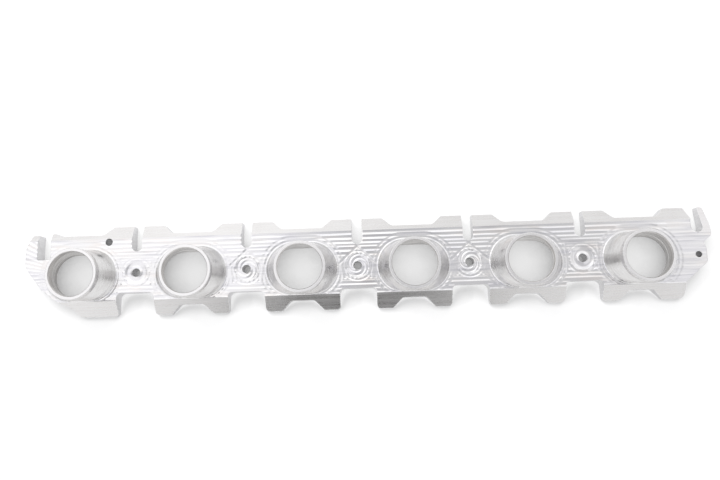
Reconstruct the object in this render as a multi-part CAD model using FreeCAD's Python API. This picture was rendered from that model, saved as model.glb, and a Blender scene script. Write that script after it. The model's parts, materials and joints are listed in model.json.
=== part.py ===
import FreeCAD, Part
import math
import os

# Head flange for the runners of an inline six, cut from one aluminium billet.
# X runs along the row of ports, +Y towards the edge with the stud slots, +Z out of the machined face.
# It is drawn about the port row, then moved to put the origin at the centre bolt hole on the mating face.
# All sizes are millimetres and degrees.

PORTS = 6
PORT_PITCH = 97.0
PLATE_THICKNESS = 11.5

# Runner stubs: round at the rim, a long oval where they meet the plate
STUB_HEIGHT = 18.0
STUB_LAND = 5.0
STUB_DIAMETER = 44.2
STUB_WALL = 2.9
STUB_FLARE = 8.0
STUB_SKIRT = 0.6
RIM_CHAMFER = 0.4
PORT_OPENING_HEIGHT = 38.6
PORT_OPENING_WIDTH = 56.0

# The flat face, and the slants that thin the plate towards both long edges
UPPER_FACE_EDGE = 32.0
UPPER_SLANT = 23.5
HORN_FACE_EDGE = 20.0
HORN_SLANT = 12.0
LOWER_FACE_MARGIN = 0.15
LOWER_SLANT = 31.0
LOWER_FACE_EDGE = -(STUB_DIAMETER / 2 + STUB_SKIRT + LOWER_FACE_MARGIN)

# Tabs on the slotted edge, one pair at each stud slot
UPPER_EDGE = 35.5
UPPER_TAB_EDGE = 43.0
UPPER_TAB_HALF_WIDTH = 22.5
UPPER_TAB_SLOPE = 8.0
UPPER_DIP_RADIUS = 5.0
UPPER_TAB_RADIUS = 1.0

# Feet on the arched edge, one below each port
LOWER_EDGE = -18.3
FIRST_GAP_EDGE = -16.2
LOWER_TAB_EDGE = -36.0
LOWER_TAB_HALF_WIDTH = 32.5
LOWER_GAP_RADIUS = 4.5
LOWER_TAB_RADIUS = 3.0
ARCH_TOP = -27.4
ARCH_TOP_HALF_WIDTH = 10.0
ARCH_FOOT_HALF_WIDTH = 18.5
ARCH_RADIUS = 5.0
ARCH_FOOT_RADIUS = 2.0
FIRST_FOOT_HALF_WIDTH = 17.0
FIRST_FOOT_OFFSET = 14.5
FIRST_FOOT_CORNER_WIDTH = 4.5
FIRST_FOOT_CORNER_HEIGHT = 7.0

# The hooked ends of the plate, measured from the centre of the nearest port
LEFT_END = 50.6
LEFT_HORN_EDGE = 37.2
LEFT_HORN_LEAN = 5.2
LEFT_CORNER_EDGE = 38.4
LEFT_CORNER_FLAT = 3.2
LEFT_CORNER_LENGTH = 8.5
RIGHT_END = 63.2
RIGHT_WAIST = 57.6
RIGHT_NOTCH_EDGE = 11.4
RIGHT_NOTCH_DEPTH = 2.0
RIGHT_NOTCH_UPPER_HEIGHT = 6.1
RIGHT_NOTCH_LOWER_HEIGHT = 4.4
HORN_TIP_LEAN = 1.6
HORN_TIP_CORNER = 2.7
LAST_TAB_START = 26.5
LAST_TAB_END = 43.5
LAST_FOOT_HALF_WIDTH = 37.1
LAST_FOOT_STEP = 1.0

# Bends of both ends' outlines, anticlockwise: inward from the end's tip (or the waist), Y and radius
LEFT_BENDS = [(31.1, LOWER_FACE_EDGE, 12.0), (16.6, -12.5, 16.0), (0.0, 9.0, 12.0), (0.2, 25.0, 14.0)]
RIGHT_HORN_BEND = (0.0, 27.0, 8.0)
RIGHT_WAIST_BEND = (0.3, -5.6, 3.0)

# Stud slots, open at the slotted edge, and the bolt holes on the centre row
SLOT_WIDTH = 9.0
SLOT_BOTTOM = 20.0
SLOT_ROUNDING = 0.98
LEFT_SLOT_OFFSET = 34.3
LEFT_SLOT_WIDTH = 11.6
LEFT_SLOT_BOTTOM = 14.8
LEFT_SLOT_RADIUS = 1.0
RIGHT_SLOT_OFFSET = 52.2
RIGHT_SLOT_WIDTH = 10.6
RIGHT_SLOT_BOTTOM = 20.6
RIGHT_SLOT_ROUNDING = 0.9
BOLT_HOLE_DIAMETER = 7.4
BOLT_ROW = 1.2
SPOT_FACE_DIAMETER = 21.0
SPOT_FACE_DEPTH = 0.3
LEFT_HOLE_DIAMETER = 6.5
LEFT_HOLE_OFFSET = 23.5
LEFT_HOLE_ROW = 29.0
RIGHT_HOLE_DIAMETER = 5.4
RIGHT_HOLE_OFFSET = 50.5
RIGHT_HOLE_ROW = 1.0

ROW_HALF = PORT_PITCH * (PORTS - 1) / 2
STUB_RADIUS = STUB_DIAMETER / 2
BORE_RADIUS = STUB_RADIUS - STUB_WALL
RIM_LEVEL = PLATE_THICKNESS + STUB_HEIGHT
OVERRUN = 5.0
CIRCLE_SPLIT = 0.02


def port_places():
    return [index * PORT_PITCH - ROW_HALF for index in range(PORTS)]


def bolt_places():
    return [place + PORT_PITCH / 2 for place in port_places()[:-1]]


def rounded_wire(corners):
    """A closed wire through (x, y, radius) corners, each rounded by an arc."""
    count = len(corners)
    rounded = []
    for index, (x, y, radius) in enumerate(corners):
        corner = FreeCAD.Vector(x, y, 0)
        before = FreeCAD.Vector(*corners[index - 1][:2], 0) - corner
        after = FreeCAD.Vector(*corners[(index + 1) % count][:2], 0) - corner
        before.normalize()
        after.normalize()
        half = before.getAngle(after) / 2
        if radius == 0 or abs(half - math.pi / 2) < 1e-4:
            rounded.append((corner, corner, corner))
            continue
        reach = radius / math.tan(half)
        inward = (before + after).normalize()
        middle = corner + inward * (radius / math.sin(half) - radius)
        rounded.append((corner + before * reach, middle, corner + after * reach))
    edges = []
    for index, (start, middle, end) in enumerate(rounded):
        if start.distanceToPoint(end) > 1e-6:
            edges.append(Part.Arc(start, middle, end).toShape())
        following = rounded[(index + 1) % count][0]
        if end.distanceToPoint(following) > 1e-6:
            edges.append(Part.LineSegment(end, following).toShape())
    return Part.Wire(edges)


def prism(corners, low, high):
    face = Part.Face(rounded_wire(corners))
    face.translate(FreeCAD.Vector(0, 0, low))
    return face.extrude(FreeCAD.Vector(0, 0, high - low))


def through_hole(x, y, diameter):
    height = PLATE_THICKNESS + 2 * OVERRUN
    return Part.makeCylinder(diameter / 2, height, FreeCAD.Vector(x, y, -OVERRUN))


def left_end():
    """The hooked end beside the first port, from its foot up to the end slot."""
    port = port_places()[0]
    end = port - LEFT_END
    foot = port + FIRST_FOOT_OFFSET - FIRST_FOOT_HALF_WIDTH
    slot_left = port - LEFT_SLOT_OFFSET - LEFT_SLOT_WIDTH / 2
    slot_right = slot_left + LEFT_SLOT_WIDTH
    return [
        (foot, LOWER_TAB_EDGE, LOWER_TAB_RADIUS),
        (foot - FIRST_FOOT_CORNER_WIDTH, LOWER_TAB_EDGE + FIRST_FOOT_CORNER_HEIGHT, LOWER_TAB_RADIUS),
        *[(end + inward, height, radius) for inward, height, radius in LEFT_BENDS],
        (end + LEFT_HORN_LEAN, LEFT_HORN_EDGE, UPPER_TAB_RADIUS),
        (slot_left, LEFT_HORN_EDGE, 0.0),
        (slot_left, LEFT_SLOT_BOTTOM, LEFT_SLOT_RADIUS),
        (slot_right, LEFT_SLOT_BOTTOM, LEFT_SLOT_RADIUS),
        (slot_right, LEFT_CORNER_EDGE, UPPER_TAB_RADIUS),
        (slot_right + LEFT_CORNER_FLAT, LEFT_CORNER_EDGE, 2.0),
        (slot_right + LEFT_CORNER_LENGTH, UPPER_EDGE, 3.0),
    ]


def upper_tabs(bolt):
    """Both tabs at one stud slot, left to right."""
    half_slot = SLOT_WIDTH / 2
    foot = UPPER_TAB_HALF_WIDTH + UPPER_TAB_SLOPE
    return [
        (bolt - foot, UPPER_EDGE, UPPER_DIP_RADIUS),
        (bolt - UPPER_TAB_HALF_WIDTH, UPPER_TAB_EDGE, UPPER_TAB_RADIUS),
        (bolt - half_slot, UPPER_TAB_EDGE, 0.0),
        (bolt - half_slot, SLOT_BOTTOM, half_slot * SLOT_ROUNDING),
        (bolt + half_slot, SLOT_BOTTOM, half_slot * SLOT_ROUNDING),
        (bolt + half_slot, UPPER_TAB_EDGE, 0.0),
        (bolt + UPPER_TAB_HALF_WIDTH, UPPER_TAB_EDGE, UPPER_TAB_RADIUS),
        (bolt + foot, UPPER_EDGE, UPPER_DIP_RADIUS),
    ]


def right_end():
    """The last tab, the end slot and the hooked end beside the last port."""
    port = port_places()[-1]
    end = port + RIGHT_END
    waist = port + RIGHT_WAIST
    slot_left = port + RIGHT_SLOT_OFFSET - RIGHT_SLOT_WIDTH / 2
    slot_right = slot_left + RIGHT_SLOT_WIDTH
    slot_radius = RIGHT_SLOT_WIDTH / 2 * RIGHT_SLOT_ROUNDING
    tab_start = port + LAST_TAB_START
    foot = port + LAST_FOOT_HALF_WIDTH
    inward, height, radius = RIGHT_HORN_BEND
    waist_inward, waist_height, waist_radius = RIGHT_WAIST_BEND
    return [
        (tab_start - UPPER_TAB_SLOPE, UPPER_EDGE, UPPER_DIP_RADIUS),
        (tab_start, UPPER_TAB_EDGE, UPPER_TAB_RADIUS),
        (port + LAST_TAB_END, UPPER_TAB_EDGE, 2.0),
        (slot_left, UPPER_FACE_EDGE + 1.0, 3.0),
        (slot_left, RIGHT_SLOT_BOTTOM, slot_radius),
        (slot_right, RIGHT_SLOT_BOTTOM, slot_radius),
        (slot_right - HORN_TIP_LEAN, UPPER_TAB_EDGE, 1.0),
        (end - HORN_TIP_CORNER, UPPER_TAB_EDGE, 2.5),
        (end - inward, height, radius),
        (end, RIGHT_NOTCH_EDGE + RIGHT_NOTCH_UPPER_HEIGHT, 4.0),
        (waist - RIGHT_NOTCH_DEPTH, RIGHT_NOTCH_EDGE, 1.5),
        (waist, RIGHT_NOTCH_EDGE - RIGHT_NOTCH_LOWER_HEIGHT, 2.0),
        (waist - waist_inward, waist_height, waist_radius),
        (foot + 0.4, LOWER_FACE_EDGE + LAST_FOOT_STEP, 1.0),
        (foot, LOWER_FACE_EDGE - LAST_FOOT_STEP, 1.0),
        (foot, LOWER_TAB_EDGE, LOWER_TAB_RADIUS + 1.0),
    ]


def arch(port):
    """The relief under one port, right to left."""
    return [
        (port + ARCH_FOOT_HALF_WIDTH, LOWER_TAB_EDGE, ARCH_FOOT_RADIUS),
        (port + ARCH_TOP_HALF_WIDTH, ARCH_TOP, ARCH_RADIUS),
        (port - ARCH_TOP_HALF_WIDTH, ARCH_TOP, ARCH_RADIUS),
        (port - ARCH_FOOT_HALF_WIDTH, LOWER_TAB_EDGE, ARCH_FOOT_RADIUS),
    ]


def gap(left, right, edge):
    """The gap between two feet, right to left."""
    return [
        (right, LOWER_TAB_EDGE, LOWER_TAB_RADIUS),
        (right, edge, LOWER_GAP_RADIUS),
        (left, edge, LOWER_GAP_RADIUS),
        (left, LOWER_TAB_EDGE, LOWER_TAB_RADIUS),
    ]


def outline():
    ports = port_places()
    corners = left_end()
    for bolt in bolt_places():
        corners += upper_tabs(bolt)
    corners += right_end()
    for index in range(PORTS - 1, 0, -1):
        corners += arch(ports[index])
        left = ports[index - 1] + LOWER_TAB_HALF_WIDTH
        edge = LOWER_EDGE
        if index == 1:
            left = ports[0] + FIRST_FOOT_OFFSET + FIRST_FOOT_HALF_WIDTH
            edge = FIRST_GAP_EDGE
        corners += gap(left, ports[index] - LOWER_TAB_HALF_WIDTH, edge)
    return corners


def slant(edge, degrees, side, start):
    """A wedge from X = start rightwards that takes the face away beyond a line, towards side in Y."""
    reach = UPPER_TAB_EDGE - LOWER_TAB_EDGE
    drop = reach * math.tan(math.radians(degrees))
    points = [
        FreeCAD.Vector(start, edge, PLATE_THICKNESS),
        FreeCAD.Vector(start, edge + side * reach, PLATE_THICKNESS - drop),
        FreeCAD.Vector(start, edge + side * reach, PLATE_THICKNESS + OVERRUN),
        FreeCAD.Vector(start, edge, PLATE_THICKNESS + OVERRUN),
    ]
    length = ROW_HALF + RIGHT_END + OVERRUN - start
    return Part.Face(Part.makePolygon(points + points[:1])).extrude(FreeCAD.Vector(length, 0, 0))


def plate():
    body = prism(outline(), 0, PLATE_THICKNESS)
    left = -ROW_HALF - LEFT_END - OVERRUN
    horn = ROW_HALF + RIGHT_SLOT_OFFSET
    return body.cut([
        slant(UPPER_FACE_EDGE, UPPER_SLANT, 1, left),
        slant(LOWER_FACE_EDGE, LOWER_SLANT, -1, left),
        slant(HORN_FACE_EDGE, HORN_SLANT, 1, horn),
    ])


def oval(port, radius, flare, level):
    """Two half rounds set apart by flare to each side. Without flare, a circle in the same four edges."""
    if flare:
        top = FreeCAD.Vector(flare, radius, 0)
        side = FreeCAD.Vector(flare + radius, 0, 0)
    else:
        top = FreeCAD.Vector(radius * CIRCLE_SPLIT, radius * math.sqrt(1 - CIRCLE_SPLIT**2), 0)
        side = FreeCAD.Vector(radius, 0, 0)
    top_left = FreeCAD.Vector(-top.x, top.y, 0)
    low_left = FreeCAD.Vector(-top.x, -top.y, 0)
    low_right = FreeCAD.Vector(top.x, -top.y, 0)
    joins = [
        (top, FreeCAD.Vector(0, radius, 0), top_left),
        (low_left, FreeCAD.Vector(0, -radius, 0), low_right),
    ]
    if flare:
        upper, lower = [Part.LineSegment(start, end) for start, middle, end in joins]
    else:
        upper, lower = [Part.Arc(*points) for points in joins]
    right = Part.Arc(low_right, side, top)
    left = Part.Arc(top_left, side * -1, low_left)
    wire = Part.Wire([curve.toShape() for curve in (right, upper, left, lower)])
    wire.translate(FreeCAD.Vector(port, 0, level))
    return wire


def stub(port):
    """One runner stub: a narrow bevelled skirt, the oval blended to round, and the straight land."""
    land = RIM_LEVEL - STUB_LAND
    foot = PLATE_THICKNESS
    skirt_radius = STUB_RADIUS + STUB_SKIRT
    root = Part.Face(oval(port, skirt_radius, STUB_FLARE, foot / 2)).extrude(FreeCAD.Vector(0, 0, foot / 2))
    skirt = Part.makeLoft([
        oval(port, skirt_radius, STUB_FLARE, foot),
        oval(port, STUB_RADIUS, STUB_FLARE, foot + STUB_SKIRT),
    ], True, True)
    blend = Part.makeLoft([
        oval(port, STUB_RADIUS, STUB_FLARE, foot + STUB_SKIRT),
        oval(port, STUB_RADIUS, 0, land),
    ], True, True)
    rim = Part.makeCylinder(STUB_RADIUS, STUB_LAND, FreeCAD.Vector(port, 0, land))
    rim = rim.makeChamfer(RIM_CHAMFER, [edge for edge in rim.Edges if edge.BoundBox.ZMin > RIM_LEVEL - 0.01])
    return root.fuse([skirt, blend, rim])


def bore(port):
    land = RIM_LEVEL - STUB_LAND
    opening_radius = PORT_OPENING_HEIGHT / 2
    flare = PORT_OPENING_WIDTH / 2 - opening_radius
    sections = [oval(port, opening_radius, flare, 0), oval(port, BORE_RADIUS, 0, land)]
    flared = Part.makeLoft(sections, True, True)
    mouth = Part.Face(oval(port, opening_radius, flare, -OVERRUN)).extrude(FreeCAD.Vector(0, 0, OVERRUN))
    straight = Part.makeCylinder(BORE_RADIUS, STUB_LAND + OVERRUN, FreeCAD.Vector(port, 0, land))
    edge = Part.makeCone(
        BORE_RADIUS, BORE_RADIUS + 2 * RIM_CHAMFER, 2 * RIM_CHAMFER,
        FreeCAD.Vector(port, 0, RIM_LEVEL - RIM_CHAMFER),
    )
    return flared.fuse([mouth, straight, edge])


def flange():
    body = plate().fuse([stub(port) for port in port_places()])
    cutters = [bore(port) for port in port_places()]
    for bolt in bolt_places():
        cutters.append(through_hole(bolt, BOLT_ROW, BOLT_HOLE_DIAMETER))
        level = FreeCAD.Vector(bolt, BOLT_ROW, PLATE_THICKNESS - SPOT_FACE_DEPTH)
        cutters.append(Part.makeCylinder(SPOT_FACE_DIAMETER / 2, OVERRUN, level))
    left = port_places()[0] + LEFT_HOLE_OFFSET
    right = port_places()[-1] + RIGHT_HOLE_OFFSET
    cutters.append(through_hole(left, LEFT_HOLE_ROW, LEFT_HOLE_DIAMETER))
    cutters.append(through_hole(right, RIGHT_HOLE_ROW, RIGHT_HOLE_DIAMETER))
    body = body.cut(cutters).removeSplitter()
    body.translate(FreeCAD.Vector(0, -BOLT_ROW, 0))
    return body.Solids[0]


os.makedirs("parts", exist_ok=True)
flange_body = flange()
print("solids", len(flange_body.Solids), "valid", flange_body.isValid(), "volume", round(flange_body.Volume))
flange_body.exportStep(os.path.join("parts", "flange.step"))
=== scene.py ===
import bpy
import bmesh
import json
import math
import random
from mathutils import Matrix, Vector, noise


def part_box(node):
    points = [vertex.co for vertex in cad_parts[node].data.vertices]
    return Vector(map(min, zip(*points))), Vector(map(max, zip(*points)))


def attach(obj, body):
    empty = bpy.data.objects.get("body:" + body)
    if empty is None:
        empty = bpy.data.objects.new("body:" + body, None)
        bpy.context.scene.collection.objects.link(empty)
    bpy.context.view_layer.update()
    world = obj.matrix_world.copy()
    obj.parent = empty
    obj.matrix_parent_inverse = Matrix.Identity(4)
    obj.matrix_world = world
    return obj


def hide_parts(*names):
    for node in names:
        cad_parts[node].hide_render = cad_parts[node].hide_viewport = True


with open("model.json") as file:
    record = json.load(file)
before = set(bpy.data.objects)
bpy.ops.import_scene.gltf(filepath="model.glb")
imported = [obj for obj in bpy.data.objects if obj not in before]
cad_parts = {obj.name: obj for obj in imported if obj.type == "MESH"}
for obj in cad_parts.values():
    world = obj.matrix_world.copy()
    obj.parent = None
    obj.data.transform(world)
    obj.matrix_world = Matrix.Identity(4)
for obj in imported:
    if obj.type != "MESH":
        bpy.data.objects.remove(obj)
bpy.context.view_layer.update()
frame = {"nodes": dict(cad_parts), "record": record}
print("frame loaded")

mm = 0.001
sameSpot = 1e-6              # metres: corners nearer than this are one
cutSlack = 1e-7
mounts = {mount["name"]: mount for mount in frame["record"]["mounts"]}
stubPlaces = [Vector(mounts[name]["pos_m"]) / mm for name in sorted(mounts) if name.startswith("stub_")]
boltPlaces = [(left + right) / 2 for left, right in zip(stubPlaces, stubPlaces[1:])]
portRow = stubPlaces[0].y
print("ports at", [round(place.x, 1) for place in stubPlaces])


def hexColour(code):
    channels = [int(code[i:i + 2], 16) / 255 for i in (1, 3, 5)]
    return [c / 12.92 if c <= 0.04045 else ((c + 0.055) / 1.055) ** 2.4 for c in channels] + [1.0]


def addNode(tree, kind, settings=None, links=None):
    node = tree.nodes.new(kind)
    for name, value in (settings or {}).items():
        if name == "stops":
            for index, (place, colour) in enumerate(value):
                stop = node.color_ramp.elements[index] if index < 2 else node.color_ramp.elements.new(place)
                stop.position = place
                stop.color = hexColour(colour)
        elif isinstance(name, int) or name in node.inputs:
            node.inputs[name].default_value = value
        else:
            setattr(node, name, value)
    for name, source in (links or {}).items():
        tree.links.new(source, node.inputs[name])
    return node


# Where the cutter ran over the flat face: millimetres, y measured from the port row
millPasses = {
    "faceLevel": 11.5,
    "spotLevel": 11.2,
    "noseRadius": 6.0,       # ball nose, so neighbouring passes leave low ridges
    "noseSpread": (0.85, 1.4),
    "rowPitch": 3.7,
    "rowTop": 30.2,
    "rowBottom": -22.5,
    "rowReach": 4.4,         # half the width that one pass can cut
    "wander": 0.7,
    "sway": 0.2,             # a pass sways this far over this length
    "swayLength": 55,
    "depthScatter": 0.2,
    "footRadius": 22.7,      # foot of a stub: a long oval
    "footFlare": 8.0,
    "contours": ((1.5, 4.0, 0.22), (5.0, 5.5, 0.1)),     # distance, nose radius, depth
    "swirlArms": 3,          # pinwheel in each spot face
    "swirlPitch": 3.7,
    "swirlNose": 3.4,
    "spotValley": 0.6,       # how far the valleys lie below a spot face
    "spotRing": 6.8,         # the outer spot faces have one ring instead
    "spotNose": 8.0,
    "ringPass": 12.6,
    "ringNose": 1.9,
    "ringDepth": 0.22,
    "peakHeight": 16.6,      # peaked boundary below a stud slot
    "peakHalfWidth": 15.5,
    "peakFoot": 2.2,
    "peakNose": 2.6,
    "peakDepth": 0.25,
    "peakMargin": 1.5,
    "padHalf": (14.0, 12.0),  # squared pad round each of the two outer bolts
    "padNose": 2.6,
    "padDepth": 0.2,
    "padMargin": 1,
    "bayBottom": -11.6,
    "bayDepth": 0.16,
    "hookStart": -272.0,     # the left hook is cut with short passes across its outline
    "hookPitch": 3.1,
    "hookNose": 4.2,
    "hookWheel": 42,         # reach from the port at which the pitch holds
    "hookFrom": 29.0,
    "hookRise": 0.05,        # nearer the port than hookFrom the passes fade
    "skim": 0.26,            # how far the ridges' valleys lie below the face
    "deburr": 0.07,          # how far the sharp outline edges are broken
    "heldNormal": 0.3,       # a corner shared with a slant or a skirt stays where it is
    "tubeRing": 2.3,         # the stubs are cut into rings of faces this high, for even shading
    "calmFrom": 268.0,       # past the last port the ridges are low
    "calmNose": 2.6,
    "gridX": 0.8,
    "gridY": 0.58,
}
peakedBolts = (1, 2, 3)      # counted from the left, from 0

# How the faces of the solid are told apart: millimetres, and shares of a face's normal
tellings = {
    "flatNormal": 0.9999,
    "levelSlack": 0.02,
    "slantNormal": (0.5, 0.99),
    "rimNormal": 0.9,
    "aboveFace": 0.05,       # a face higher than this over the plate belongs to a stub
    "boreShare": -0.05,      # a stub's face that looks at its port's axis is the bore
    "wallShare": -0.3,       # the same in the plate, where the port lies nearer than portReach
    "portReach": 31,
    "creaseDegrees": 24,
}
zones = ("milledFace", "slant", "stub", "bore", "wall", "back", "rim")


def rowPasses(values):
    random.seed(7)
    rows, level = [], values["rowTop"]
    while level > values["rowBottom"]:
        rows.append((level + random.uniform(-1, 1) * values["wander"],
                     random.uniform(0, 1) * values["depthScatter"],
                     values["noseRadius"] * random.uniform(*values["noseSpread"])))
        level -= values["rowPitch"]
    return rows


rows = rowPasses(millPasses)


def groove(away, nose, depth=0.0):
    return away * away / (2 * nose) - depth


def sawtooth(value):
    return value % 1.0 - 0.5


def cutDepth(x, y, onSpot, values=millPasses):
    bolt = min(range(len(boltPlaces)), key=lambda index: abs(boltPlaces[index].x - x))
    stub = min(range(len(stubPlaces)), key=lambda index: abs(stubPlaces[index].x - x))
    sideX, sideY = x - boltPlaces[bolt].x, y + portRow
    reach = math.hypot(sideX, sideY)
    if onSpot and bolt not in peakedBolts:
        return groove(reach - values["spotRing"], values["spotNose"]) - values["spotValley"]
    if onSpot:
        turn = math.atan2(sideY, sideX) / math.tau * values["swirlArms"]
        share = sawtooth(turn + reach / values["swirlPitch"])
        return groove(share * values["swirlPitch"], values["swirlNose"]) - values["spotValley"]
    foot = math.hypot(max(abs(x - stubPlaces[stub].x) - values["footFlare"], 0), y) - values["footRadius"]
    depths = [groove(foot - away, nose, depth) for away, nose, depth in values["contours"]]
    depths.append(groove(reach - values["ringPass"], values["ringNose"], values["ringDepth"]))
    inBay = False
    if bolt not in peakedBolts:
        padX, padY = values["padHalf"]
        if abs(sideY) < padY + values["padMargin"]:
            depths.append(groove(abs(sideX) - padX, values["padNose"], values["padDepth"]))
        if abs(sideX) < padX + values["padMargin"]:
            depths.append(groove(abs(sideY) - padY, values["padNose"], values["padDepth"]))
    else:
        slope = (values["peakHeight"] - values["peakFoot"]) / values["peakHalfWidth"]
        line = values["peakHeight"] - slope * abs(sideX)
        away = (sideY - line) / math.hypot(1, slope)
        if abs(sideX) < values["peakHalfWidth"] + values["peakMargin"] and sideY > 0:
            depths.append(groove(away, values["peakNose"], values["peakDepth"]))
        inBay = values["bayBottom"] < sideY < line
    if inBay:
        across = sawtooth(sideX / values["rowPitch"] + 0.5) * values["rowPitch"]
        depths.append(groove(across, values["noseRadius"], values["bayDepth"]))
    elif x < values["hookStart"]:
        port = stubPlaces[0].x
        reach = math.hypot(x - port, y)
        pitch, wheel = values["hookPitch"], values["hookWheel"]
        across = sawtooth(math.atan2(y, x - port) * wheel / pitch) * pitch * reach / wheel
        rise = max(0, values["hookFrom"] - reach) * values["hookRise"]
        depths.append(groove(across, values["hookNose"]) + rise)
    else:
        for level, depth, nose in rows:
            swayed = noise.noise(Vector((x / values["swayLength"], level, 3.0)))
            across = y - level - values["sway"] * swayed
            if abs(across) < values["rowReach"]:
                calm = values["calmNose"] if x > values["calmFrom"] else 1.0
                depths.append(groove(across, nose * calm, depth / calm))
    return min(depths) - values["skim"]


def addPiece(name, mesh):
    data = bpy.data.meshes.new(name)
    mesh.to_mesh(data)
    mesh.free()
    piece = bpy.data.objects.new(name, data)
    bpy.context.scene.collection.objects.link(piece)
    return piece


def sliceFaces(mesh, faces, cuts, axis):
    # halves the set at the middle cut, then each half at its own, so each cut meets few faces
    if not cuts or not faces:
        return faces
    middle = len(cuts) // 2
    place = Vector((0, 0, 0))
    place[axis] = cuts[middle]
    normal = Vector((0, 0, 0))
    normal[axis] = 1
    edges = {edge for face in faces for edge in face.edges}
    verts = {vert for face in faces for vert in face.verts}
    result = bmesh.ops.bisect_plane(mesh, geom=[*verts, *edges, *faces], dist=cutSlack,
                                    plane_co=place, plane_no=normal)
    pieces = [piece for piece in result["geom"] if isinstance(piece, bmesh.types.BMFace)]
    lower = [face for face in pieces if face.calc_center_median()[axis] < cuts[middle]]
    upper = [face for face in pieces if face.calc_center_median()[axis] >= cuts[middle]]
    return sliceFaces(mesh, lower, cuts[:middle], axis) + sliceFaces(mesh, upper, cuts[middle + 1:], axis)


def makeFlange(values):
    mesh = bmesh.new()
    mesh.from_mesh(frame["nodes"]["flange"].data)
    bmesh.ops.remove_doubles(mesh, verts=mesh.verts, dist=sameSpot)
    flat = levelFaces(mesh)
    low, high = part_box("flange")
    stepY, stepX = values["gridY"] * mm, values["gridX"] * mm
    cutsY = [low.y + step * values["gridY"] * mm for step in range(1, int((high.y - low.y) / stepY))]
    cutsX = [low.x + step * values["gridX"] * mm for step in range(1, int((high.x - low.x) / stepX))]
    flat = sliceFaces(mesh, flat, cutsY, 1)
    flat = sliceFaces(mesh, flat, cutsX, 0)
    flatSet = set(flat)
    print("face cut into", len(flat), "cells")
    tubes = [face for face in mesh.faces if face not in flatSet and zoneOf(face, False) in ("stub", "bore")]
    cutsZ = [step * values["tubeRing"] * mm for step in range(1, int(high.z / (values["tubeRing"] * mm)))]
    sliceFaces(mesh, tubes, cutsZ, 2)
    inner = {edge for face in flat for edge in face.edges
             if all(other in flatSet for other in edge.link_faces)}
    # the solid's mesh is triangles, so its slanting edges in the flat are taken out again
    diagonal = [edge for edge in inner
                if min(abs(edge.verts[0].co[axis] - edge.verts[1].co[axis]) for axis in (0, 1)) > sameSpot]
    bmesh.ops.dissolve_edges(mesh, edges=diagonal, use_verts=True)
    flat = levelFaces(mesh)
    flatSet = set(flat)
    for face in mesh.faces:
        face.smooth = True
        face.material_index = zones.index(zoneOf(face, face in flatSet))
    crease = math.radians(tellings["creaseDegrees"])
    for edge in mesh.edges:
        kinds = {face in flatSet for face in edge.link_faces}
        edge.smooth = len(kinds) == 1 and (True in kinds or edge.calc_face_angle(0) < crease)
    spotBelow = (values["faceLevel"] * mm + values["spotLevel"] * mm) / 2
    for vert in {vert for face in flat for vert in face.verts}:
        around = [face for face in vert.link_faces if face not in flatSet]
        if any(face.normal.z > values["heldNormal"] for face in around):
            continue
        onSpot = vert.co.z < spotBelow
        if onSpot and around:
            continue
        x, y = vert.co.x / mm, vert.co.y / mm - portRow
        vert.co.z += (min(cutDepth(x, y, onSpot), 0) - (values["deburr"] if around else 0)) * mm
    bmesh.ops.recalc_face_normals(mesh, faces=mesh.faces)
    piece = addPiece("flangeBody", mesh)
    if "custom_normal" in piece.data.attributes:
        piece.data.attributes.remove(piece.data.attributes["custom_normal"])
    return piece


def levelFaces(mesh):
    levels = [millPasses["faceLevel"] * mm, millPasses["spotLevel"] * mm]
    slack = tellings["levelSlack"] * mm
    return [face for face in mesh.faces if face.normal.z > tellings["flatNormal"]
            and min(abs(face.calc_center_median().z - level) for level in levels) < slack]


def zoneOf(face, isFlat):
    centre = face.calc_center_median() / mm
    lowSlant, highSlant = tellings["slantNormal"]
    if isFlat:
        return "milledFace"
    if face.normal.z < -highSlant:
        return "back"
    port = min(stubPlaces, key=lambda place: abs(place.x - centre.x))
    outX, outY = centre.x - port.x, centre.y - port.y
    reach = math.hypot(outX, outY)
    outward = face.normal.x * outX + face.normal.y * outY
    aboveFace = centre.z > millPasses["faceLevel"] + tellings["aboveFace"]
    if aboveFace and face.normal.z > tellings["rimNormal"]:
        return "rim"
    if aboveFace:
        return "bore" if outward < tellings["boreShare"] * reach else "stub"
    if lowSlant < face.normal.z < highSlant:
        return "slant"
    if reach < tellings["portReach"] and outward < tellings["wallShare"] * reach:
        return "bore"
    return "wall"


def bareMaterial(name):
    material = bpy.data.materials.new(name)
    material.use_nodes = True
    material.node_tree.nodes.clear()
    return material


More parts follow.
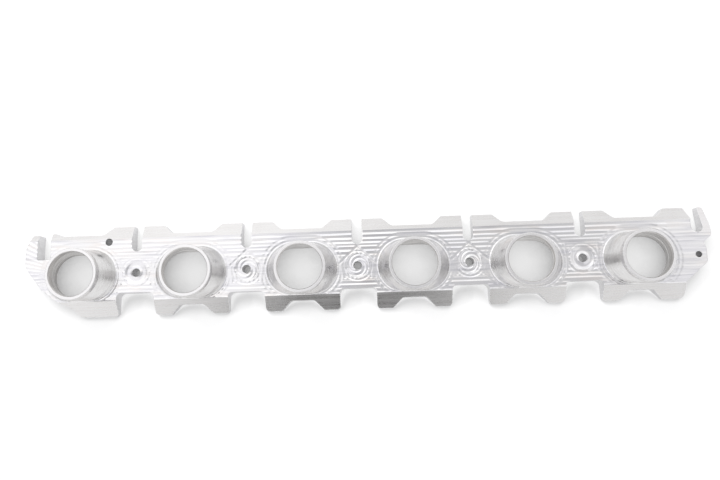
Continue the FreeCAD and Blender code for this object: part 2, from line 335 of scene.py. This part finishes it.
def ballMilledAluminium():
    # 6061 plate cut with a ball nose: bright as a mirror, each pass in a shade of its own
    values = {
        "stops": [(0.0, "#eeeef3"), (0.4, "#f6f6f8"), (0.56, "#fafafa"), (0.72, "#f9f6f4"),
                  (1.0, "#f3ece8")],
        "streak": (46, 2.1, 2.1),     # mm along, across and down a pass
        "burnish": (34, 2.7, 2.7),    # where the ball rubbed more than it cut, the pass is greyer
        "rubbed": [(0.32, "#efeff1"), (0.46, "#ffffff"), (0.7, "#ffffff")],
        "tint": (30, 7, 7),
        "rough": 0.08,
        "dull": 0.2,
        "feed": 1.1,                  # mm; real feed marks are finer, drawn this coarse so that they show
    }
    material = bareMaterial("ballMilledAluminium")
    tree = material.node_tree
    place = addNode(tree, "ShaderNodeTexCoord")
    tintPlace = addNode(tree, "ShaderNodeMapping", {"Scale": [1 / (size * mm) for size in values["tint"]]},
                        {"Vector": place.outputs["Object"]})
    tint = addNode(tree, "ShaderNodeTexNoise", {"Scale": 1.0, "Detail": 2.0},
                   {"Vector": tintPlace.outputs[0]})
    colour = addNode(tree, "ShaderNodeValToRGB", {"stops": values["stops"]}, {"Fac": tint.outputs[0]})
    burnishPlace = addNode(tree, "ShaderNodeMapping",
                           {"Scale": [1 / (size * mm) for size in values["burnish"]],
                            "Location": (3.0, 8.0, 1.0)},
                           {"Vector": place.outputs["Object"]})
    burnish = addNode(tree, "ShaderNodeTexNoise", {"Scale": 1.0, "Detail": 1.0},
                      {"Vector": burnishPlace.outputs[0]})
    rubbed = addNode(tree, "ShaderNodeValToRGB", {"stops": values["rubbed"]}, {"Fac": burnish.outputs[0]})
    shaded = addNode(tree, "ShaderNodeMix", {"data_type": "RGBA", "blend_type": "MULTIPLY", "Factor": 1.0},
                     {"A": colour.outputs[0], "B": rubbed.outputs[0]})
    streakPlace = addNode(tree, "ShaderNodeMapping",
                          {"Scale": [1 / (size * mm) for size in values["streak"]]},
                          {"Vector": place.outputs["Object"]})
    streaks = addNode(tree, "ShaderNodeTexNoise", {"Scale": 1.0, "Detail": 4.0, "Roughness": 0.65},
                      {"Vector": streakPlace.outputs[0]})
    rough = addNode(tree, "ShaderNodeMapRange", {"From Min": 0.3, "From Max": 0.72, "To Min": values["rough"],
                                                 "To Max": values["dull"]}, {"Value": streaks.outputs[0]})
    feedPlace = addNode(tree, "ShaderNodeMapping", {"Scale": [1 / (values["feed"] * mm)] * 3},
                        {"Vector": place.outputs["Object"]})
    feed = addNode(tree, "ShaderNodeTexNoise", {"Scale": 1.0, "Detail": 2.0},
                   {"Vector": feedPlace.outputs[0]})
    height = addNode(tree, "ShaderNodeMath", {"operation": "ADD"},
                     {0: feed.outputs[0], 1: streaks.outputs[0]})
    bump = addNode(tree, "ShaderNodeBump", {"Strength": 0.4, "Distance": 0.02 * mm},
                   {"Height": height.outputs[0]})
    shader = addNode(tree, "ShaderNodeBsdfPrincipled", {"Metallic": 1.0},
                     {"Base Color": shaded.outputs["Result"], "Roughness": rough.outputs[0],
                      "Normal": bump.outputs[0]})
    addNode(tree, "ShaderNodeOutputMaterial", links={"Surface": shader.outputs[0]})
    return material


def lineCutAluminium(name, values):
    # cut aluminium with fine lines one way, its sharp edges broken with a file and lighter in colour there:
    # partly filed wear, partly a painted edge highlight
    material = bareMaterial(name)
    tree = material.node_tree
    place = addNode(tree, "ShaderNodeTexCoord")
    linePlace = addNode(tree, "ShaderNodeMapping", {"Scale": [1 / (size * mm) for size in values["line"]]},
                        {"Vector": place.outputs["Object"]})
    lines = addNode(tree, "ShaderNodeTexNoise", {"Scale": 1.0, "Detail": 3.0, "Roughness": 0.6},
                    {"Vector": linePlace.outputs[0]})
    cloudPlace = addNode(tree, "ShaderNodeMapping", {"Scale": [1 / (values["cloud"] * mm)] * 3},
                         {"Vector": place.outputs["Object"]})
    clouds = addNode(tree, "ShaderNodeTexNoise", {"Scale": 1.0, "Detail": 3.0},
                     {"Vector": cloudPlace.outputs[0]})
    blend = addNode(tree, "ShaderNodeMix", {"Factor": values["cloudShare"]},
                    {"A": lines.outputs[0], "B": clouds.outputs[0]})
    colour = addNode(tree, "ShaderNodeValToRGB", {"stops": values["stops"]}, {"Fac": blend.outputs[0]})
    broken = addNode(tree, "ShaderNodeBevel", {"samples": 4, "Radius": values["edge"] * mm})
    flat = addNode(tree, "ShaderNodeNewGeometry")
    facing = addNode(tree, "ShaderNodeVectorMath", {"operation": "DOT_PRODUCT"},
                     {0: broken.outputs[0], 1: flat.outputs["Normal"]})
    # edges lightened in colour: partly filed wear, partly a painted edge highlight
    wearAndGlint = addNode(tree, "ShaderNodeMapRange", {"From Min": 0.995, "From Max": 0.93},
                   {"Value": facing.outputs["Value"]})
    edged = addNode(tree, "ShaderNodeMix", {"data_type": "RGBA", "B": hexColour(values["wearAndGlint"])},
                    {"Factor": wearAndGlint.outputs[0], "A": colour.outputs[0]})
    rough = addNode(tree, "ShaderNodeMapRange", {"From Min": 0.3, "From Max": 0.7, "To Min": values["rough"],
                                                 "To Max": values["dull"]}, {"Value": blend.outputs[0]})
    bump = addNode(tree, "ShaderNodeBump", {"Strength": values["bump"], "Distance": values["depth"] * mm},
                   {"Height": lines.outputs[0], "Normal": broken.outputs[0]})
    # rings left by turning or boring draw each reflection out along the tube
    ringWay = addNode(tree, "ShaderNodeVectorMath", {"operation": "CROSS_PRODUCT", 1: (0, 0, 1)},
                      {0: flat.outputs["Normal"]})
    shader = addNode(tree, "ShaderNodeBsdfPrincipled",
                     {"Metallic": 1.0, "Anisotropic": values.get("rings", 0.0)},
                     {"Base Color": edged.outputs["Result"], "Roughness": rough.outputs[0],
                      "Normal": bump.outputs[0], "Tangent": ringWay.outputs[0]})
    addNode(tree, "ShaderNodeOutputMaterial", links={"Surface": shader.outputs[0]})
    return material


# Each cut leaves its lines: line is mm along x, y and z, so the short sides lie across the lines
lineCuts = {
    "endMilledSlant": {     # pads sloped with an end mill's side: satin, faint lines along the plate
        "line": (70, 1.3, 1.3), "cloud": 18, "cloudShare": 0.35, "edge": 0.3, "wearAndGlint": "#fbfbfb",
        "stops": [(0.25, "#ebe9e8"), (0.75, "#f7f6f6")], "rough": 0.24, "dull": 0.31,
        "bump": 0.06, "depth": 0.006},
    "turnedStubPaintedShade": {         # stubs finished round: mirror bright, with rings; coloured darker than the plate as painted shade, for the shade the flanks reflect
        "line": (9, 9, 0.9), "cloud": 14, "cloudShare": 0.4, "edge": 0.6, "wearAndGlint": "#f8f8f8",
        "stops": [(0.25, "#cbc9c8"), (0.75, "#ebebeb")], "rough": 0.2, "dull": 0.3,
        "bump": 0.3, "depth": 0.02, "rings": 0.75},
    "boredPortPaintedShade": {          # bored: darker grey inside as painted shade, for the dim table the bore reflects; ringed by the boring bar, the rings' light and dark partly painted arcs of reflected light
        "line": (40, 40, 4.2), "cloud": 12, "cloudShare": 0.15, "edge": 0.3, "wearAndGlint": "#f2f1f0",
        "stops": [(0.36, "#a5a2a0"), (0.5, "#c4c1bf"), (0.6, "#eceae8")], "rough": 0.22, "dull": 0.34,
        "bump": 0.9, "depth": 0.25, "rings": 0.4},
    "sideMilledWallPaintedShade": {     # outline cut round with an end mill: upright marks; coloured darker than the face as painted shade on the walls
        "line": (1.2, 1.2, 18), "cloud": 15, "cloudShare": 0.4, "edge": 0.3, "wearAndGlint": "#fafafa",
        "stops": [(0.25, "#c9c8c9"), (0.75, "#e4e4e5")], "rough": 0.26, "dull": 0.38,
        "bump": 0.4, "depth": 0.02},
    "facedRim": {           # rims faced flat: the brightest cut on the stub
        "line": (3, 3, 3), "cloud": 9, "cloudShare": 0.5, "edge": 0.6, "wearAndGlint": "#ffffff",
        "stops": [(0.25, "#f6f5f5"), (0.75, "#fdfdfd")], "rough": 0.12, "dull": 0.2,
        "bump": 0.15, "depth": 0.006},
}


def flyCutAluminium():
    # mating face, skimmed with a fly cutter: even grey with wide arcs that cross the plate
    values = {"sweep": 62, "pitch": 1.6, "stops": [(0.2, "#dcdbdb"), (0.8, "#f4f4f4")],
              "rough": 0.2, "dull": 0.34}
    material = bareMaterial("flyCutMatingFace")
    tree = material.node_tree
    place = addNode(tree, "ShaderNodeTexCoord")
    parts = addNode(tree, "ShaderNodeSeparateXYZ", links={0: place.outputs["Object"]})
    square = addNode(tree, "ShaderNodeMath", {"operation": "MULTIPLY"},
                     {0: parts.outputs["Y"], 1: parts.outputs["Y"]})
    inside = addNode(tree, "ShaderNodeMath", {"operation": "SUBTRACT", 0: (values["sweep"] * mm) ** 2},
                     {1: square.outputs[0]})
    bow = addNode(tree, "ShaderNodeMath", {"operation": "SQRT"}, {0: inside.outputs[0]})
    away = addNode(tree, "ShaderNodeMath", {"operation": "SUBTRACT"},
                   {0: parts.outputs["X"], 1: bow.outputs[0]})
    turns = addNode(tree, "ShaderNodeMath", {"operation": "MULTIPLY", 1: math.tau / (values["pitch"] * mm)},
                    {0: away.outputs[0]})
    arcs = addNode(tree, "ShaderNodeMath", {"operation": "SINE"}, {0: turns.outputs[0]})
    cloud = addNode(tree, "ShaderNodeTexNoise", {"Scale": 1 / (24 * mm), "Detail": 4.0},
                    {"Vector": place.outputs["Object"]})
    tone = addNode(tree, "ShaderNodeMapRange", {"From Min": -1.0, "To Min": -0.12, "To Max": 0.12},
                   {"Value": arcs.outputs[0]})
    both = addNode(tree, "ShaderNodeMath", {"operation": "ADD"}, {0: tone.outputs[0], 1: cloud.outputs[0]})
    colour = addNode(tree, "ShaderNodeValToRGB", {"stops": values["stops"]}, {"Fac": both.outputs[0]})
    rough = addNode(tree, "ShaderNodeMapRange", {"From Min": 0.2, "From Max": 0.8, "To Min": values["rough"],
                                                 "To Max": values["dull"]}, {"Value": both.outputs[0]})
    bump = addNode(tree, "ShaderNodeBump", {"Strength": 0.3, "Distance": 0.01 * mm},
                   {"Height": arcs.outputs[0]})
    shader = addNode(tree, "ShaderNodeBsdfPrincipled", {"Metallic": 1.0},
                     {"Base Color": colour.outputs[0], "Roughness": rough.outputs[0],
                      "Normal": bump.outputs[0]})
    addNode(tree, "ShaderNodeOutputMaterial", links={"Surface": shader.outputs[0]})
    return material


flangeBody = makeFlange(millPasses)
lineCutZones = {"slant": "endMilledSlant", "stub": "turnedStubPaintedShade", "bore": "boredPortPaintedShade",
                "wall": "sideMilledWallPaintedShade", "rim": "facedRim"}
finishes = {zone: lineCutAluminium(name, lineCuts[name]) for zone, name in lineCutZones.items()}
finishes["milledFace"] = ballMilledAluminium()
finishes["back"] = flyCutAluminium()
for zone in zones:
    flangeBody.data.materials.append(finishes[zone])
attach(flangeBody, "root")
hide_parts("flange")
print("flange", len(flangeBody.data.polygons), "faces")


def straightRays(tree):
    # 1 for a ray from the camera, off metal or through glass, 0 for one that only lights
    rays = addNode(tree, "ShaderNodeLightPath")
    direct = addNode(tree, "ShaderNodeMath", {"operation": "MAXIMUM"},
                     {0: rays.outputs["Is Camera Ray"], 1: rays.outputs["Is Glossy Ray"]})
    return addNode(tree, "ShaderNodeMath", {"operation": "MAXIMUM"},
                   {0: direct.outputs[0], 1: rays.outputs["Is Transmission Ray"]})


# Plain pale table, in metres
table = {
    "colour": "#fbfbfc",
    "half": 4.5,
    "roughness": 0.6,
    "sheen": 0.2,
    "paperGlow": 1.05,
    "paperShare": 0.8,
    "samples": 12,
    "reachMm": 80,           # the paper's glow is dimmed as painted shade by the share of open sky over it within this reach
    "skyTones": [(0.07, "#747474"), (0.16, "#dbdbdb"), (0.29, "#e6e6e6"), (0.35, "#ffffff")],
    "paintedShadowFrom": (-0.25, 0.75, 0.6),
    "shadeMm": 20,           # and by what shuts off that direction within this reach, a painted shadow dimmed down to shade
    "shadeFrom": 0.2,
    "shadeTo": 0.72,
    "shade": 0.38,
    "shadeOutside": (0.42, 0.56),
}


def whitePaperTable(values):
    # matt paper that keeps the part's shadow from the lamp; seen straight and in metal it glows, with painted
    # shade where the part shuts off the sky
    material = bareMaterial("whitePaperTable")
    tree = material.node_tree
    matt = addNode(tree, "ShaderNodeBsdfPrincipled",
                   {"Base Color": hexColour(values["colour"]), "Roughness": values["roughness"],
                    "Specular IOR Level": values["sheen"]})
    # painted shade: the paper's glow is dimmed where the part shuts off the sky, as down its ports and bolt
    # holes
    openTo = addNode(tree, "ShaderNodeAmbientOcclusion",
                     {"samples": values["samples"], "Distance": values["reachMm"] * mm})
    openSky = addNode(tree, "ShaderNodeValToRGB", {"stops": values["skyTones"]},
                      {"Fac": openTo.outputs["AO"]})
    # painted shadow: the glow is dimmed as though a soft light came in low over the plate's upper edge, so
    # the plate shades the gaps below it
    paintedShadowFrom = addNode(tree, "ShaderNodeCombineXYZ", dict(enumerate(values["paintedShadowFrom"])))
    lit = addNode(tree, "ShaderNodeAmbientOcclusion",
                  {"samples": values["samples"], "Distance": values["shadeMm"] * mm},
                  {"Normal": paintedShadowFrom.outputs[0]})
    shade = addNode(tree, "ShaderNodeMapRange",
                    {"From Min": values["shadeFrom"], "From Max": values["shadeTo"],
                     "To Min": values["shade"]},
                    {"Value": lit.outputs["AO"]})
    outside = addNode(tree, "ShaderNodeMapRange", {"From Min": values["shadeOutside"][0],
                                                   "From Max": values["shadeOutside"][1]},
                      {"Value": openTo.outputs["AO"]})
    shaded = addNode(tree, "ShaderNodeMix", {"A": 1.0},
                     {"Factor": outside.outputs[0], "B": shade.outputs[0]})
    paintedPaperShade = addNode(tree, "ShaderNodeMath", {"operation": "MULTIPLY"},
                         {0: openSky.outputs[0], 1: shaded.outputs[0]})
    paper = addNode(tree, "ShaderNodeEmission", {"Strength": values["paperGlow"]},
                    {"Color": paintedPaperShade.outputs[0]})
    lifted = addNode(tree, "ShaderNodeMath", {"operation": "MULTIPLY", 1: values["paperShare"]},
                     {0: straightRays(tree).outputs[0]})
    mixed = addNode(tree, "ShaderNodeMixShader",
                    links={0: lifted.outputs[0], 1: matt.outputs[0], 2: paper.outputs[0]})
    addNode(tree, "ShaderNodeOutputMaterial", links={"Surface": mixed.outputs[0]})
    return material


tableMesh = bmesh.new()
bmesh.ops.create_grid(tableMesh, x_segments=4, y_segments=4, size=table["half"])
tableTop = addPiece("tableTop", tableMesh)
tableTop.data.materials.append(whitePaperTable(table))

# White paper wall round the table, so that low views have a plain background too
backdrop = {"radius": 4.0, "height": 1.55, "sides": 64, "colour": "#ffffff"}


def whitePaperBackdrop(values):
    # seen straight it is plain white, and what it sends on to the part is dull paper
    material = bareMaterial("whitePaperBackdrop")
    tree = material.node_tree
    matt = addNode(tree, "ShaderNodeBsdfDiffuse", {"Color": hexColour(values["colour"])})
    plain = addNode(tree, "ShaderNodeEmission", {"Color": hexColour(values["colour"])})
    mixed = addNode(tree, "ShaderNodeMixShader",
                    links={0: straightRays(tree).outputs[0], 1: matt.outputs[0], 2: plain.outputs[0]})
    addNode(tree, "ShaderNodeOutputMaterial", links={"Surface": mixed.outputs[0]})
    return material


backdropMesh = bmesh.new()
bmesh.ops.create_cone(backdropMesh, cap_ends=False, segments=backdrop["sides"], radius1=backdrop["radius"],
                      radius2=backdrop["radius"], depth=backdrop["height"],
                      matrix=Matrix.Translation((0, 0, backdrop["height"] / 2)))
paperBackdrop = addPiece("paperBackdrop", backdropMesh)
paperBackdrop.data.materials.append(whitePaperBackdrop(backdrop))
print("table laid")

# A white tent with darker gaps, as seen by bright metal. Each ramp runs from -1 to 1 over one part of the
# direction seen: across over y, the others over x. Contrast mixes across into flat, and level dims the mix.
# Low in front and low behind, the front and rear ramps take its place
tent = {
    "gain": 2.2,
    "across": [(-1.0, "#a8a8a8"), (-0.6, "#a6a5a7"), (-0.42, "#a8a7aa"), (-0.2, "#a4a3a6"),
               (-0.02, "#a9a9ab"), (0.07, "#aeaeb0"), (0.17, "#bebdbf"), (0.23, "#d9d6d3"),
               (0.31, "#f8f7f8"), (0.52, "#f4f4f6"), (0.66, "#c8c8c8"), (1.0, "#b0b0b0")],
    "flat": "#bdbcbd",
    "contrast": [(-0.6, "#707070"), (-0.26, "#828282"), (-0.12, "#b4b4b4"), (-0.05, "#ffffff"),
                 (0.05, "#ffffff"), (0.14, "#cecece"), (0.34, "#cccccc"), (0.46, "#888888"),
                 (0.7, "#707070")],
    "level": [(-0.9, "#b8b8b8"), (-0.62, "#f6f6f6"), (-0.24, "#f3f3f3"), (-0.1, "#e1e1e1"),
              (-0.02, "#c7c7c7"), (0.1, "#d0d0d0"), (0.3, "#c9c9c9"), (0.38, "#cccccc"),
              (0.47, "#e4e4e4"), (0.62, "#e2e2e2"), (0.9, "#b4b4b4")],
    "front": [(-1.0, "#aeaeae"), (-0.3, "#a8a8a8"), (-0.24, "#7a7a7a"), (-0.16, "#3e3e3e"),
              (-0.09, "#1c1c1c"), (0.12, "#1c1c1c"), (0.16, "#808080"),
              (0.21, "#a8a8a8"), (0.6, "#989898"), (1.0, "#989898")],
    "rear": [(-1.0, "#a6a6a6"), (-0.5, "#a7a7a7"), (-0.36, "#bababa"), (-0.15, "#b6b6b6"),
             (0.05, "#a8a8a8"), (0.25, "#a1a1a1"), (0.4, "#a6a6a6"), (0.52, "#a2a2a2"), (1.0, "#a2a2a2")],
    "frontFrom": -0.6,
    "frontTo": -0.74,
    "rearFrom": 0.6,
    "rearTo": 0.7,
}
world = bpy.data.worlds.new("studioTent")
bpy.context.scene.world = world
world.use_nodes = True
sky = world.node_tree
sky.nodes.clear()
direction = addNode(sky, "ShaderNodeTexCoord")
parts = addNode(sky, "ShaderNodeSeparateXYZ", links={0: direction.outputs["Generated"]})
shareY = addNode(sky, "ShaderNodeMapRange", {"From Min": -1.0}, {"Value": parts.outputs["Y"]})
shareX = addNode(sky, "ShaderNodeMapRange", {"From Min": -1.0}, {"Value": parts.outputs["X"]})
ramps = {}
for name in ("across", "contrast", "level", "front", "rear"):
    share = shareY if name == "across" else shareX
    stops = [(side / 2 + 0.5, colour) for side, colour in tent[name]]
    ramps[name] = addNode(sky, "ShaderNodeValToRGB", {"stops": stops}, {"Fac": share.outputs[0]})
soft = addNode(sky, "ShaderNodeMix", {"data_type": "RGBA", "A": hexColour(tent["flat"])},
               {"Factor": ramps["contrast"].outputs[0], "B": ramps["across"].outputs[0]})
body = addNode(sky, "ShaderNodeMix", {"data_type": "RGBA", "blend_type": "MULTIPLY", "Factor": 1.0},
               {"A": soft.outputs["Result"], "B": ramps["level"].outputs[0]})
frontShare = addNode(sky, "ShaderNodeMapRange", {"From Min": tent["frontFrom"], "From Max": tent["frontTo"]},
                     {"Value": parts.outputs["Y"]})
rearShare = addNode(sky, "ShaderNodeMapRange", {"From Min": tent["rearFrom"], "From Max": tent["rearTo"]},
                    {"Value": parts.outputs["Y"]})
most = addNode(sky, "ShaderNodeMix", {"data_type": "RGBA"},
               {"Factor": frontShare.outputs[0], "A": body.outputs["Result"], "B": ramps["front"].outputs[0]})
whole = addNode(sky, "ShaderNodeMix", {"data_type": "RGBA"},
                {"Factor": rearShare.outputs[0], "A": most.outputs["Result"], "B": ramps["rear"].outputs[0]})
glow = addNode(sky, "ShaderNodeBackground", {"Strength": tent["gain"]}, {"Color": whole.outputs["Result"]})
addNode(sky, "ShaderNodeOutputWorld", links={"Surface": glow.outputs[0]})
print("tent lit")

# One soft lamp, for the shadow on the table: metres and watts
key = {"size": 0.8, "power": 30, "place": (-0.7, 1.3, 1.0)}
keyData = bpy.data.lights.new("keyLamp", "AREA")
keyData.shape = "SQUARE"
keyData.size = key["size"]
keyData.energy = key["power"]
keyLamp = bpy.data.objects.new("keyLamp", keyData)
keyLamp.location = key["place"]
keyLamp.rotation_euler = (Vector((0, 0, 0)) - Vector(key["place"])).to_track_quat("-Z", "Y").to_euler()
keyLamp.visible_glossy = False
bpy.context.scene.collection.objects.link(keyLamp)

# The photographer's camera, nearly straight above
view = {
    "place": (0.01255, -0.05548, 0.49448),
    "lens": 28,
    "sensor": 36,
    "nearest": 0.02,
    "right": (0.99921553, -0.03049480, -0.02526649),
    "up": (0.03415846, 0.98648500, 0.16025152),
    "back": (0.02003818, -0.16098888, 0.98675278),
}
cameraData = bpy.data.cameras.new("tableCamera")
cameraData.lens = view["lens"]
cameraData.sensor_width = view["sensor"]
cameraData.clip_start = view["nearest"]
camera = bpy.data.objects.new("tableCamera", cameraData)
turn = Matrix((view["right"], view["up"], view["back"])).transposed().to_4x4()
camera.matrix_world = Matrix.Translation(Vector(view["place"]) + Vector((0, portRow * mm, 0))) @ turn
bpy.context.scene.collection.objects.link(camera)
bpy.context.scene.camera = camera
bpy.context.scene.view_settings.view_transform = "Standard"
